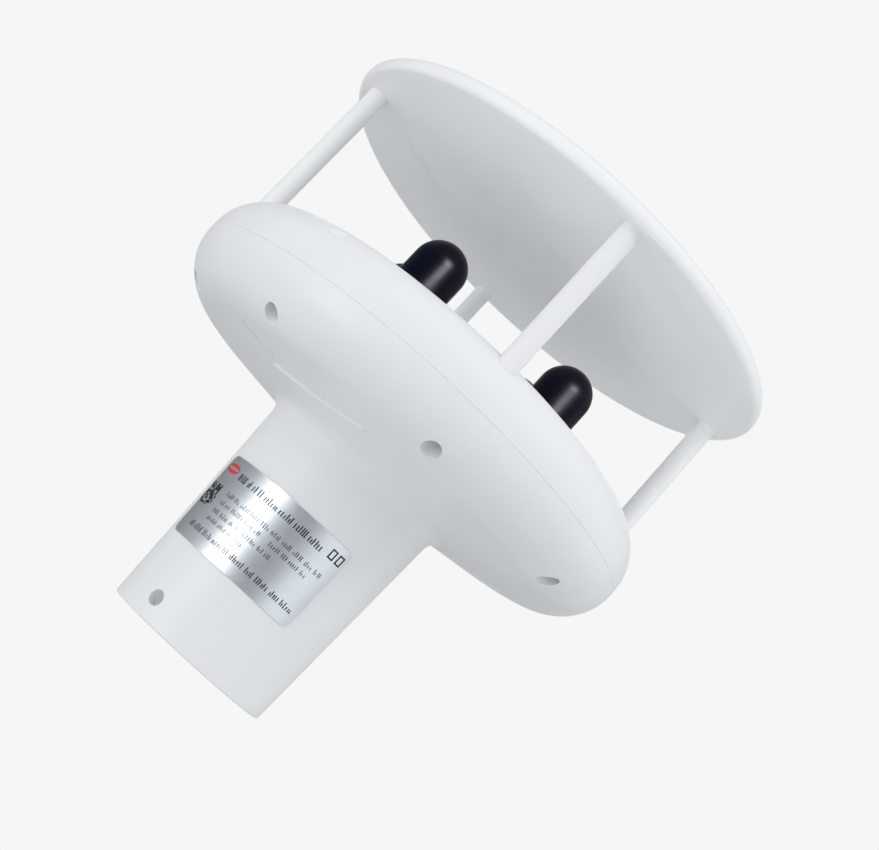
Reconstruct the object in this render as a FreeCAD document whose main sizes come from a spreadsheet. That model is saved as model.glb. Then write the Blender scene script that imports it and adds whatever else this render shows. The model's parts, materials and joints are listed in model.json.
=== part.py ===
"""Ultrasonic wind sensor: a hollow disc on a mast socket, four transducers, four posts and a roof.

Frame: +Z up along the sensor's axis, origin at the centre of the socket's open lower end.
The transducers stand on the X and Y axes, the posts on the diagonals between them.
Everything is in millimetres and degrees.
"""
import FreeCAD, Part
import math
import os
import Sketcher

SIZES = {
    # mast socket and neck
    "neck_draft": 2.47,
    "neck_wall": 4.0,
    "neck_fillet": 5.0,
    "mast_radius": 25.4,
    "mast_clearance": 0.6,
    "mast_depth": 33.0,
    "throat_radius": 22.0,
    "throat_depth": 15.0,
    "bulkhead_thickness": 4.0,
    "socket_edge_round": 0.5,
    "fixing_hole_radius": 2.65,
    "fixing_hole_height": 7.3,
    # disc housing
    "disc_radius": 87.5,
    "parting_height": 103.2,
    "rim_low_radius": 18.6,
    "rim_top_radius": 17.0,
    "rim_band": 2.1,
    "underside_slope": 9.0,
    "crown_slope": 14.0,
    "housing_wall": 3.0,
    "lip_width": 4.3,
    "seal_section": 1.0,
    "seal_clearance": 0.05,
    "parting_bevel": 0.2,
    "north_pip_ball": 5.0,
    "north_pip_depth": 1.3,
    "north_pip_lift": 47.0,
    "direction_mark_width": 1.1,
    "direction_mark_relief": 0.9,
    "direction_mark_radius": 54.0,
    "direction_mark_gap": 1.9,
    "direction_mark_long": 40.0,
    "direction_mark_short": 14.5,
    # screws that clamp the disc and the posts
    "post_inset": 8.6,
    "boss_radius": 4.6,
    "boss_top": 4.2,
    "screw_recess_radius": 3.1,
    "screw_web": 5.0,
    "screw_clearance": 0.2,
    "screw_radius": 1.5,
    "screw_head_radius": 2.75,
    "screw_head_height": 3.0,
    "hex_socket_radius": 1.45,
    "hex_socket_depth": 1.6,
    "insert_radius": 2.1,
    "insert_length": 6.0,
    # posts and roof
    "post_radius": 3.45,
    "post_fit": 0.05,
    "post_boss_radius": 6.2,
    "post_seat_rise": 8.0,
    "post_washer": 0.8,
    "post_thread_depth": 11.0,
    "reflector_gap": 70.3,
    "reflector_inset": 0.9,
    "reflector_thickness": 5.3,
    "reflector_floor": 3.1,
    "reflector_low_round": 2.0,
    "reflector_top_round": 2.6,
    "roof_inset": 4.2,
    "roof_fit": 0.2,
    "roof_gasket": 0.6,
    "roof_skirt": 3.2,
    "roof_rise": 5.5,
    "roof_wall": 1.8,
    "countersunk_radius": 2.9,
    "countersunk_height": 1.7,
    # transducers
    "transducer_circle": 39.5,
    "cap_radius": 9.2,
    "cap_wall": 1.6,
    "cap_barrel": 10.7,
    "cap_flange_width": 1.3,
    "cap_flange": 1.2,
    "cap_gasket": 0.8,
    "cap_stem_step": 0.2,
    "cap_stem_fit": 0.15,
    "seat_sink": 0.5,
    "seat_clearance": 0.4,
    "seat_boss_wall": 2.4,
    "seat_boss_depth": 12.0,
    "cap_nut_height": 4.0,
    "cap_nut_width": 4.5,
    "cap_stem_tail": 2.0,
    "piezo_clearance": 0.6,
    "piezo_thickness": 3.0,
    "backing_length": 17.0,
    "backing_bore": 2.2,
    "lead_radius": 0.5,
    "lead_spacing": 2.4,
    # electronics
    "board_margin": 21.5,
    "board_thickness": 1.6,
    "board_drop": 10.2,
    "board_screw_inset": 8.0,
    "standoff_radius": 4.0,
    "board_screw_radius": 1.25,
    "board_screw_length": 7.6,
    "board_screw_head_radius": 2.75,
    "board_screw_head": 2.0,
    "processor_side": 14.0,
    "processor_height": 1.4,
    "transformer_offset": 13.0,
    "transformer_side": 10.0,
    "transformer_height": 8.0,
    "lead_header_side": 8.0,
    "lead_header_height": 5.0,
    "harness_header_side": 12.0,
    "harness_header_height": 5.0,
    # connector in the socket
    "connector_radius": 8.0,
    "connector_wall": 1.4,
    "connector_fit": 0.05,
    "connector_drop": 12.0,
    "connector_flange_width": 2.0,
    "connector_flange": 1.5,
    "connector_gasket": 0.8,
    "connector_thread": 5.0,
    "connector_nut_wall": 1.5,
    "connector_nut_height": 3.0,
    "pin_circle": 3.2,
    "pin_radius": 0.8,
    "pin_setback": 2.0,
    "insulator_setback": 8.0,
    "insulator_tail": 2.0,
    "pin_tail": 4.0,
    "wire_radius": 0.6,
    # rating label
    "label_low": 26.0,
    "label_height": 29.9,
    "label_span": 102.0,
    "label_turn": 17.6,
    "label_foil": 0.3,
    "label_corner": 2.5,
}

FRONT, RIGHT, BACK, LEFT = 270, 0, 90, 180
SIDES = {"front": FRONT, "right": RIGHT, "back": BACK, "left": LEFT}
CORNERS = {"front_right": 315, "back_right": 45, "back_left": 135, "front_left": 225}

doc = FreeCAD.newDocument("ultrasonic_wind_sensor")
pieces = []


class Size:
    """A number together with the sheet expression that it comes from."""

    def __init__(self, value, text):
        self.value = value
        self.text = text

    def __add__(self, other):
        other = size_of(other)
        return Size(self.value + other.value, f"({self.text} + {other.text})")

    def __radd__(self, other):
        return size_of(other) + self

    def __sub__(self, other):
        other = size_of(other)
        return Size(self.value - other.value, f"({self.text} - {other.text})")

    def __rsub__(self, other):
        return size_of(other) - self

    def __mul__(self, other):
        other = size_of(other)
        return Size(self.value * other.value, f"({self.text} * {other.text})")

    def __rmul__(self, other):
        return size_of(other) * self

    def __truediv__(self, other):
        other = size_of(other)
        return Size(self.value / other.value, f"({self.text} / {other.text})")


def size_of(number):
    """The number itself as a Size."""
    if isinstance(number, Size):
        return number
    return Size(float(number), f"({float(number)})")


def sin_of(angle):
    angle = size_of(angle)
    return Size(math.sin(math.radians(angle.value)), f"sin({angle.text})")


def cos_of(angle):
    angle = size_of(angle)
    return Size(math.cos(math.radians(angle.value)), f"cos({angle.text})")


def tan_of(angle):
    angle = size_of(angle)
    return Size(math.tan(math.radians(angle.value)), f"tan({angle.text})")


def root_of(square):
    return Size(math.sqrt(square.value), f"sqrt({square.text})")


def fill_sheet():
    """The driving sizes, one to a row: the alias's name beside its value."""
    sheet = doc.addObject("Spreadsheet::Sheet", "Sizes")
    for row, (name, value) in enumerate(SIZES.items(), start=1):
        sheet.set(f"A{row}", name)
        sheet.set(f"B{row}", str(value))
        sheet.setAlias(f"B{row}", name)
    doc.recompute()
    return {name: Size(value, f"Sizes.{name}") for name, value in SIZES.items()}


S = fill_sheet()


def bind(thing, field, size):
    thing.setExpression(field, size_of(size).text)


def polar(radius, angle):
    """The X and Y of a point at this radius and angle about the Z axis."""
    return radius * cos_of(angle), radius * sin_of(angle)


def place(thing, x, y, z):
    for axis, size in zip("xyz", (x, y, z)):
        bind(thing, f"Placement.Base.{axis}", size)


def keep(thing, label):
    """Mark this object as a piece of the sensor, written out under its label."""
    thing.Label = label
    pieces.append(thing)
    return thing


# ---- Part primitives -------------------------------------------------------------------------

def cylinder(name, radius, low, high, x=0, y=0):
    solid = doc.addObject("Part::Cylinder", name)
    bind(solid, "Radius", radius)
    bind(solid, "Height", high - low)
    place(solid, x, y, low)
    return solid


def cone(name, low_radius, high_radius, low, high, x=0, y=0):
    solid = doc.addObject("Part::Cone", name)
    bind(solid, "Radius1", low_radius)
    bind(solid, "Radius2", high_radius)
    bind(solid, "Height", high - low)
    place(solid, x, y, low)
    return solid


def block(name, side, low, high, x=0, y=0):
    """A square block centred on x, y."""
    solid = doc.addObject("Part::Box", name)
    bind(solid, "Length", side)
    bind(solid, "Width", side)
    bind(solid, "Height", high - low)
    place(solid, x - side / 2, y - side / 2, low)
    return solid


def hexagon(name, corner_radius, low, high, x=0, y=0):
    solid = doc.addObject("Part::Prism", name)
    solid.Polygon = 6
    bind(solid, "Circumradius", corner_radius)
    bind(solid, "Height", high - low)
    place(solid, x, y, low)
    return solid


def cut(name, base, tool):
    result = doc.addObject("Part::Cut", name)
    result.Base = base
    result.Tool = tool
    return result


def fuse(name, *shapes):
    result = doc.addObject("Part::MultiFuse", name)
    result.Shapes = list(shapes)
    return result


def group(name, shapes):
    result = doc.addObject("Part::Compound", name)
    result.Links = list(shapes)
    return result


def ring(name, outer, inner, low, high, x=0, y=0):
    solid = cylinder(f"{name}_outside", outer, low, high, x, y)
    hole = cylinder(f"{name}_hole", inner, low - 1, high + 1, x, y)
    return cut(name, solid, hole)


# ---- PartDesign helpers ----------------------------------------------------------------------

def origin_feature(body, role):
    for feature in body.Origin.OriginFeatures:
        if feature.Role == role:
            return feature
    raise ValueError(role)


def corner_fixed(sketch, place_on_curve, corner):
    """Hold one end of a curve at the corner's two sizes from the sketch's origin."""
    axes = (("DistanceX", corner[0], -2), ("DistanceY", corner[1], -1))
    for kind, size, axis in axes:
        if abs(size.value) < 1e-9:
            sketch.addConstraint(Sketcher.Constraint("PointOnObject", *place_on_curve, axis))
            continue
        rule = Sketcher.Constraint(kind, -1, 1, *place_on_curve, size.value)
        index = sketch.addConstraint(rule)
        bind(sketch, f"Constraints[{index}]", size)


def profile(body, name, outline):
    """A closed sketch on the XZ plane. Each corner is (x, z), or (x, z, centre x, centre z,
    radius) where an arc about that centre leads to the next corner."""
    sketch = body.newObject("Sketcher::SketchObject", name)
    sketch.AttachmentSupport = (origin_feature(body, "XZ_Plane"), [""])
    sketch.MapMode = "FlatFace"
    corners = [tuple(size_of(size) for size in corner) for corner in outline]
    ends = []
    for index, corner in enumerate(corners):
        after = corners[(index + 1) % len(corners)]
        start = FreeCAD.Vector(corner[0].value, corner[1].value, 0)
        finish = FreeCAD.Vector(after[0].value, after[1].value, 0)
        if len(corner) == 2:
            sketch.addGeometry(Part.LineSegment(start, finish), False)
            ends.append((1, 2))
            continue
        centre = FreeCAD.Vector(corner[2].value, corner[3].value, 0)
        circle = Part.Circle(centre, FreeCAD.Vector(0, 0, 1), corner[4].value)
        first, last = start - centre, finish - centre
        turns_left = first.x * last.y - first.y * last.x > 0
        if not turns_left:
            first, last = last, first
        low = math.atan2(first.y, first.x)
        high = math.atan2(last.y, last.x)
        if high < low:
            high += 2 * math.pi
        sketch.addGeometry(Part.ArcOfCircle(circle, low, high), False)
        ends.append((1, 2) if turns_left else (2, 1))
    for index, corner in enumerate(corners):
        before = index - 1 if index else len(corners) - 1
        joined = Sketcher.Constraint("Coincident", before, ends[before][1], index, ends[index][0])
        sketch.addConstraint(joined)
        corner_fixed(sketch, (index, ends[index][0]), corner)
        if len(corner) == 5:
            number = sketch.addConstraint(Sketcher.Constraint("Radius", index, corner[4].value))
            bind(sketch, f"Constraints[{number}]", corner[4])
    return sketch


def turned(body, kind, name, outline, angle=360):
    """A Revolution or a Groove of the outline about the body's Z axis."""
    sketch = profile(body, f"{name}_outline", outline)
    feature = body.newObject(f"PartDesign::{kind}", name)
    feature.Profile = sketch
    feature.ReferenceAxis = (sketch, ["V_Axis"])
    bind(feature, "Angle", angle)
    return feature


def turned_body(label, outline, x=0, y=0):
    body = doc.addObject("PartDesign::Body", f"{label}_body")
    turned(body, "Revolution", f"{label}_turned", outline)
    place(body, x, y, 0)
    return keep(body, label)


def round_bar(body, kind, name, radius, low, high, x=0, y=0):
    """An upright AdditiveCylinder or SubtractiveCylinder."""
    feature = body.newObject(f"PartDesign::{kind}Cylinder", name)
    bind(feature, "Radius", radius)
    bind(feature, "Height", high - low)
    place(feature, x, y, low)
    return feature


def around_axis(body, name, features, count):
    pattern = body.newObject("PartDesign::PolarPattern", name)
    pattern.Originals = features
    pattern.Axis = (origin_feature(body, "Z_Axis"), [""])
    pattern.Angle = 360
    pattern.Occurrences = count
    body.Tip = pattern
    return pattern


def rounded(body, name, base, circles, radius):
    """A Fillet on the base's round edges, each named by its radius and height."""
    doc.recompute()
    names = []
    for index, edge in enumerate(base.Shape.Edges, start=1):
        if not isinstance(edge.Curve, Part.Circle):
            continue
        for circle_radius, height in circles:
            near = abs(edge.Curve.Radius - circle_radius.value) < 0.01
            if near and abs(edge.Curve.Center.z - size_of(height).value) < 0.01:
                names.append(f"Edge{index}")
    feature = body.newObject("PartDesign::Fillet", name)
    feature.Base = (base, names)
    bind(feature, "Radius", radius)
    return feature


# ---- shared places ---------------------------------------------------------------------------

post_circle = S["disc_radius"] - S["post_inset"]
screw_hole = S["screw_radius"] + S["screw_clearance"]
parting = S["parting_height"]
lip_inner = S["disc_radius"] - S["lip_width"]
boss_face = parting - S["boss_top"]
screw_seat = boss_face - S["screw_web"]

# lower half: a cone under the disc that turns up into the rim
low_centre = S["disc_radius"] - S["rim_low_radius"]
slope = S["underside_slope"]
low_inner_radius = S["rim_low_radius"] - S["housing_wall"]
under_edge = low_centre + S["rim_low_radius"] * sin_of(slope)
under_edge_z = parting - S["rim_low_radius"] * cos_of(slope)
floor_edge = low_centre + low_inner_radius * sin_of(slope)
floor_edge_z = parting - low_inner_radius * cos_of(slope)

# upper half: a rim that turns over into a shallow crown about one far centre
top_centre = S["disc_radius"] - S["rim_top_radius"]
top_centre_z = parting + S["rim_band"]
top_inner_radius = S["rim_top_radius"] - S["housing_wall"]
crown_edge = top_centre + S["rim_top_radius"] * sin_of(S["crown_slope"])
crown_edge_z = top_centre_z + S["rim_top_radius"] * cos_of(S["crown_slope"])
crown_radius = crown_edge / sin_of(S["crown_slope"])
crown_centre_z = crown_edge_z - crown_radius * cos_of(S["crown_slope"])
ceiling_edge = top_centre + top_inner_radius * sin_of(S["crown_slope"])
ceiling_edge_z = top_centre_z + top_inner_radius * cos_of(S["crown_slope"])
ceiling_radius = crown_radius - S["housing_wall"]

bore_radius = S["mast_radius"] + S["mast_clearance"]
neck_radius = bore_radius + S["neck_wall"]
bulkhead_low = S["mast_depth"] + S["throat_depth"]
bulkhead_top = bulkhead_low + S["bulkhead_thickness"]

post_seat = boss_face + S["post_seat_rise"]
post_low = post_seat + S["post_washer"]
reflector_radius = S["disc_radius"] - S["reflector_inset"]
reflector_low = parting + S["reflector_gap"]
reflector_floor = reflector_low + S["reflector_floor"]
reflector_top = reflector_low + S["reflector_thickness"]

seat_z = crown_centre_z + root_of(crown_radius * crown_radius
                                  - S["transducer_circle"] * S["transducer_circle"]) - S["seat_sink"]
seat_boss_low = seat_z - S["seat_boss_depth"]
flange_low = seat_z + S["cap_gasket"]
flange_top = flange_low + S["cap_flange"]
cap_centre_z = seat_z + S["cap_barrel"]
cap_bore = S["cap_radius"] - S["cap_wall"]
cap_stem = S["cap_radius"] - S["cap_stem_step"]
cap_flange_radius = S["cap_radius"] + S["cap_flange_width"]

board_radius = S["disc_radius"] - S["board_margin"]
board_screw_circle = board_radius - S["board_screw_inset"]
board_low = parting - S["board_drop"]
board_top = board_low + S["board_thickness"]

connector_bore = S["connector_radius"] - S["connector_wall"]
connector_flange = S["connector_radius"] + S["connector_flange_width"]


def neck_outside(height):
    return neck_radius + tan_of(S["neck_draft"]) * height


def underside(radius):
    """Height of the disc's conical underside at this radius."""
    return under_edge_z - tan_of(slope) * (under_edge - radius)


def floor(radius):
    """Height of the conical floor inside the disc at this radius."""
    return floor_edge_z - tan_of(slope) * (floor_edge - radius)


# ---- lower housing: neck, mast socket and the disc's underside --------------------------------

def lower_housing():
    body = doc.addObject("PartDesign::Body", "lower_housing_body")
    slope_lift = under_edge_z - tan_of(slope) * (under_edge - neck_radius)
    root_z = slope_lift / (1 - tan_of(slope) * tan_of(S["neck_draft"]))
    root_radius = neck_outside(root_z)
    outside = turned(body, "Revolution", "lower_outside", [
        (0, 0),
        (neck_radius, 0),
        (root_radius, root_z),
        (under_edge, under_edge_z, low_centre, parting, S["rim_low_radius"]),
        (S["disc_radius"], parting),
        (0, parting)])
    root = rounded(body, "neck_root", outside, [(root_radius, root_z)], S["neck_fillet"])
    rounded(body, "socket_edge", root, [(neck_radius, 0)], S["socket_edge_round"])
    turned(body, "Groove", "mast_socket", [
        (0, 0),
        (bore_radius, 0),
        (bore_radius, S["mast_depth"]),
        (S["throat_radius"], S["mast_depth"]),
        (S["throat_radius"], bulkhead_low),
        (0, bulkhead_low)])
    neck_inside = neck_outside(bulkhead_top) - S["neck_wall"]
    inner_step = lip_inner - low_centre
    lip_low = parting - root_of(low_inner_radius * low_inner_radius - inner_step * inner_step)
    turned(body, "Groove", "lower_cavity", [
        (0, bulkhead_top),
        (neck_inside, bulkhead_top),
        (neck_inside, floor(neck_inside)),
        (floor_edge, floor_edge_z, low_centre, parting, low_inner_radius),
        (lip_inner, lip_low),
        (lip_inner, parting),
        (0, parting)])
    seal_middle = lip_inner + S["lip_width"] / 2
    seal_half = S["seal_section"] + S["seal_clearance"]
    seal_floor = parting - S["seal_section"] * 2
    turned(body, "Groove", "seal_groove", [
        (seal_middle - seal_half, seal_floor),
        (seal_middle + seal_half, seal_floor),
        (seal_middle + seal_half, parting),
        (seal_middle - seal_half, parting)])
    boss = round_bar(body, "Additive", "low_boss", S["boss_radius"],
                     under_edge_z, boss_face, post_circle, 0)
    around_axis(body, "low_bosses", [boss], 8)
    standoff_x, standoff_y = polar(board_screw_circle, 45)
    standoff = round_bar(body, "Additive", "standoff", S["standoff_radius"],
                         floor(board_screw_circle) - S["housing_wall"] / 2,
                         board_low, standoff_x, standoff_y)
    around_axis(body, "standoffs", [standoff], 4)
    direction_mark(body)
    below = under_edge_z - 5
    turned(body, "Groove", "rim_trim", [
        (under_edge, under_edge_z, low_centre, parting, S["rim_low_radius"]),
        (S["disc_radius"], parting),
        (S["disc_radius"] + 5, parting),
        (S["disc_radius"] + 5, below),
        (under_edge, below)])
    recess = round_bar(body, "Subtractive", "screw_recess", S["screw_recess_radius"],
                       under_edge_z - 10, screw_seat, post_circle, 0)
    around_axis(body, "screw_recesses", [recess], 8)
    hole = round_bar(body, "Subtractive", "screw_hole", screw_hole,
                     screw_seat - 1, boss_face + 1, post_circle, 0)
    around_axis(body, "screw_holes", [hole], 8)
    pilot = round_bar(body, "Subtractive", "board_pilot", S["board_screw_radius"],
                      board_top - S["board_screw_length"], board_low + 1, standoff_x, standoff_y)
    around_axis(body, "board_pilots", [pilot], 4)
    round_bar(body, "Subtractive", "connector_hole", S["connector_radius"] + S["connector_fit"],
              bulkhead_low - 1, bulkhead_top + 1)
    fixing = body.newObject("PartDesign::SubtractiveCylinder", "fixing_holes")
    reach = neck_radius * 2 + 10
    bind(fixing, "Radius", S["fixing_hole_radius"])
    bind(fixing, "Height", reach)
    fixing.Placement.Rotation = FreeCAD.Rotation(FreeCAD.Vector(1, 0, 0), -90)
    place(fixing, 0, 0 - reach / 2, S["fixing_hole_height"])
    parting_bevel(body, "lower_bevel", -1)
    keep(body, "lower_housing")


def direction_mark(body):
    """A raised stroke under the disc in front of the neck, trimmed to a low relief, and a groove
    that starts a gap away on the same bearing. Each runs along its own heading."""
    bearing = 259.3
    ridge_heading = 4
    near = S["direction_mark_radius"]
    near_x, near_y = polar(near, bearing)
    ridge = body.newObject("PartDesign::AdditiveBox", "mark_ridge")
    bind(ridge, "Length", S["direction_mark_long"])
    bind(ridge, "Width", S["direction_mark_width"])
    bind(ridge, "Height", S["housing_wall"] + 0.2)
    ridge.Placement.Rotation = FreeCAD.Rotation(FreeCAD.Vector(0, 0, 1), ridge_heading)
    place(ridge, near_x, near_y, underside(near) - S["housing_wall"] / 2)
    inner = S["direction_mark_radius"] - 8
    outer = S["direction_mark_radius"] + 17
    relief = S["direction_mark_relief"]
    turned(body, "Groove", "mark_trim", [
        (inner, underside(inner) - relief),
        (inner, underside(inner) - 6),
        (outer, underside(inner) - 6),
        (outer, underside(outer) - relief)])
    groove_heading = 220
    across = math.cos(math.radians(bearing - groove_heading))
    rise = math.atan(math.tan(math.radians(SIZES["underside_slope"])) * across)
    far = near + S["direction_mark_gap"]
    far_x, far_y = polar(far, bearing)
    below = 2
    groove = body.newObject("PartDesign::SubtractiveBox", "mark_groove")
    bind(groove, "Length", S["direction_mark_short"])
    bind(groove, "Width", S["direction_mark_width"])
    bind(groove, "Height", relief + below)
    groove.Placement.Rotation = FreeCAD.Rotation(groove_heading, 0 - math.degrees(rise), 0)
    place(groove, far_x, far_y, underside(far) - below)


def parting_bevel(body, name, side):
    """Breaks the housing's outer edge at the parting plane. Side is 1 above it and -1 below."""
    bevel = S["parting_bevel"]
    turned(body, "Groove", name, [
        (S["disc_radius"] - bevel, parting),
        (S["disc_radius"] + bevel, parting),
        (S["disc_radius"] + bevel, parting + bevel * 2 * side)])


# ---- upper housing: the crown, with post sockets and transducer seats -------------------------

def upper_housing():
    body = doc.addObject("PartDesign::Body", "upper_housing_body")
    turned(body, "Revolution", "upper_outside", [
        (0, parting),
        (S["disc_radius"], parting),
        (S["disc_radius"], top_centre_z, top_centre, top_centre_z, S["rim_top_radius"]),
        (crown_edge, crown_edge_z, 0, crown_centre_z, crown_radius),
        (0, crown_centre_z + crown_radius)])
    inner_step = lip_inner - top_centre
    lip_high = top_centre_z + root_of(top_inner_radius * top_inner_radius - inner_step * inner_step)
    turned(body, "Groove", "upper_cavity", [
        (0, parting),
        (lip_inner, parting),
        (lip_inner, lip_high, top_centre, top_centre_z, top_inner_radius),
        (ceiling_edge, ceiling_edge_z, 0, crown_centre_z, ceiling_radius),
        (0, crown_centre_z + ceiling_radius)])
    screw_boss = round_bar(body, "Additive", "screw_boss", S["boss_radius"], boss_face,
                           boss_face + S["insert_length"] + S["post_seat_rise"], post_circle, 0)
    around_axis(body, "screw_bosses", [screw_boss], 4)
    post_x, post_y = polar(post_circle, 45)
    post_boss = round_bar(body, "Additive", "post_boss", S["post_boss_radius"], boss_face,
                          ceiling_edge_z, post_x, post_y)
    around_axis(body, "post_bosses", [post_boss], 4)
    seat_boss = round_bar(body, "Additive", "seat_boss",
                          cap_stem + S["cap_stem_fit"] + S["seat_boss_wall"],
                          seat_boss_low, seat_z, S["transducer_circle"], 0)
    around_axis(body, "seat_bosses", [seat_boss], 4)
    above = crown_edge_z + 10
    turned(body, "Groove", "crown_trim", [
        (S["disc_radius"], top_centre_z, top_centre, top_centre_z, S["rim_top_radius"]),
        (crown_edge, crown_edge_z),
        (crown_edge, above),
        (S["disc_radius"] + 8, above),
        (S["disc_radius"] + 8, boss_face),
        (S["disc_radius"], boss_face)])
    lip_gap = 0.3
    turned(body, "Groove", "lip_clearance", [
        (lip_inner - lip_gap, boss_face - 1),
        (S["disc_radius"], boss_face - 1),
        (S["disc_radius"], parting),
        (lip_inner - lip_gap, parting)])
    spot = round_bar(body, "Subtractive", "seat_face",
                     cap_flange_radius + S["seat_clearance"],
                     seat_z, seat_z + 10, S["transducer_circle"], 0)
    around_axis(body, "seat_faces", [spot], 4)
    stem_hole = round_bar(body, "Subtractive", "stem_hole", cap_stem + S["cap_stem_fit"],
                          seat_boss_low - 1, seat_z + 1, S["transducer_circle"], 0)
    around_axis(body, "stem_holes", [stem_hole], 4)
    socket = round_bar(body, "Subtractive", "post_socket", S["post_radius"] + S["post_fit"],
                       post_seat, crown_edge_z + 5, post_x, post_y)
    around_axis(body, "post_sockets", [socket], 4)
    post_hole = round_bar(body, "Subtractive", "post_screw_hole", screw_hole,
                          boss_face - 1, post_seat + 1, post_x, post_y)
    around_axis(body, "post_screw_holes", [post_hole], 4)
    insert_hole = round_bar(body, "Subtractive", "insert_hole", S["insert_radius"],
                            boss_face - 1, boss_face + S["insert_length"], post_circle, 0)
    around_axis(body, "insert_holes", [insert_hole], 4)
    tip_hole = round_bar(body, "Subtractive", "screw_tip_hole", screw_hole,
                         boss_face, boss_face + S["insert_length"] + 3, post_circle, 0)
    around_axis(body, "screw_tip_holes", [tip_hole], 4)
    parting_bevel(body, "upper_bevel", 1)
    north_pip(body)
    keep(body, "upper_housing")


def north_pip(body):
    """A shallow round dimple on the shoulder that shows which side faces north."""
    reach = S["rim_top_radius"] + S["north_pip_ball"] - S["north_pip_depth"]
    radius = top_centre + reach * cos_of(S["north_pip_lift"])
    height = top_centre_z + reach * sin_of(S["north_pip_lift"])
    ball = body.newObject("PartDesign::SubtractiveSphere", "north_pip")
    bind(ball, "Radius", S["north_pip_ball"])
    place(ball, 0, 0 - radius, height)


def housing_seal():
    torus = doc.addObject("Part::Torus", "housing_seal_ring")
    bind(torus, "Radius1", lip_inner + S["lip_width"] / 2)
    bind(torus, "Radius2", S["seal_section"])
    place(torus, 0, 0, parting - S["seal_section"])
    keep(torus, "housing_seal")


# ---- screws ----------------------------------------------------------------------------------

def cap_screw(name, tip, x, y):
    """A socket head screw from below: head under the seat, tip pointing up."""
    head_low = screw_seat - S["screw_head_height"]
    head = cylinder(f"{name}_head", S["screw_head_radius"], head_low, screw_seat, x, y)
    socket = hexagon(f"{name}_hex", S["hex_socket_radius"], head_low - 1,
                     head_low + S["hex_socket_depth"], x, y)
    shank = cylinder(f"{name}_shank", S["screw_radius"], screw_seat, tip, x, y)
    return fuse(name, cut(f"{name}_open_head", head, socket), shank)


def housing_screws():
    screws = []
    inserts = []
    for side, angle in SIDES.items():
        x, y = polar(post_circle, angle)
        tip = boss_face + S["insert_length"] + 1
        screws.append(cap_screw(f"housing_screw_{side}", tip, x, y))
        inserts.append(ring(f"insert_{side}", S["insert_radius"], S["screw_radius"],
                            boss_face, boss_face + S["insert_length"], x, y))
    keep(group("housing_screw_set", screws), "housing_screws")
    keep(group("insert_set", inserts), "threaded_inserts")


def post_screws():
    screws = []
    washers = []
    for corner, angle in CORNERS.items():
        x, y = polar(post_circle, angle)
        screws.append(cap_screw(f"post_screw_{corner}", post_low + S["post_thread_depth"] - 1, x, y))
        washers.append(ring(f"post_washer_{corner}", S["post_radius"], screw_hole,
                            post_seat, post_low, x, y))
    keep(group("post_screw_set", screws), "post_screws")
    keep(group("post_washer_set", washers), "post_sealing_washers")


# ---- posts, reflector and roof ---------------------------------------------------------------

def support_posts():
    for corner, angle in CORNERS.items():
        x, y = polar(post_circle, angle)
        depth = S["post_thread_depth"]
        turned_body(f"support_post_{corner}", [
            (S["screw_radius"], post_low),
            (S["post_radius"], post_low),
            (S["post_radius"], reflector_low),
            (S["screw_radius"], reflector_low),
            (S["screw_radius"], reflector_low - depth),
            (0, reflector_low - depth),
            (0, post_low + depth),
            (S["screw_radius"], post_low + depth)], x, y)


def reflector():
    body = doc.addObject("PartDesign::Body", "reflector_body")
    edge = reflector_radius
    low_round = S["reflector_low_round"]
    top_round = S["reflector_top_round"]
    recess = edge - S["roof_inset"]
    turned(body, "Revolution", "reflector_turned", [
        (0, reflector_low),
        (edge - low_round, reflector_low, edge - low_round, reflector_low + low_round, low_round),
        (edge, reflector_low + low_round),
        (edge, reflector_top - top_round, edge - top_round, reflector_top - top_round, top_round),
        (edge - top_round, reflector_top),
        (recess, reflector_top),
        (recess, reflector_floor),
        (0, reflector_floor)])
    x, y = polar(post_circle, 45)
    hole = round_bar(body, "Subtractive", "reflector_screw_hole", S["screw_radius"],
                     reflector_low - 1, reflector_floor + 1, x, y)
    around_axis(body, "reflector_screw_holes", [hole], 4)
    countersink = body.newObject("PartDesign::SubtractiveCone", "countersink")
    bind(countersink, "Radius1", S["screw_radius"])
    bind(countersink, "Radius2", S["countersunk_radius"])
    bind(countersink, "Height", S["countersunk_height"])
    place(countersink, x, y, reflector_floor - S["countersunk_height"])
    around_axis(body, "countersinks", [countersink], 4)
    keep(body, "reflector_plate")


def reflector_screws():
    screws = []
    for corner, angle in CORNERS.items():
        x, y = polar(post_circle, angle)
        name = f"reflector_screw_{corner}"
        neck = reflector_floor - S["countersunk_height"]
        head = cone(f"{name}_head", S["screw_radius"], S["countersunk_radius"],
                    neck, reflector_floor, x, y)
        drive = hexagon(f"{name}_hex", S["hex_socket_radius"] * 0.7,
                        reflector_floor - S["countersunk_height"] * 0.6, reflector_floor + 1, x, y)
        tip = reflector_low - S["post_thread_depth"] + 1
        shank = cylinder(f"{name}_shank", S["screw_radius"], tip, neck, x, y)
        screws.append(fuse(name, cut(f"{name}_open_head", head, drive), shank))
    keep(group("reflector_screw_set", screws), "reflector_screws")


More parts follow.
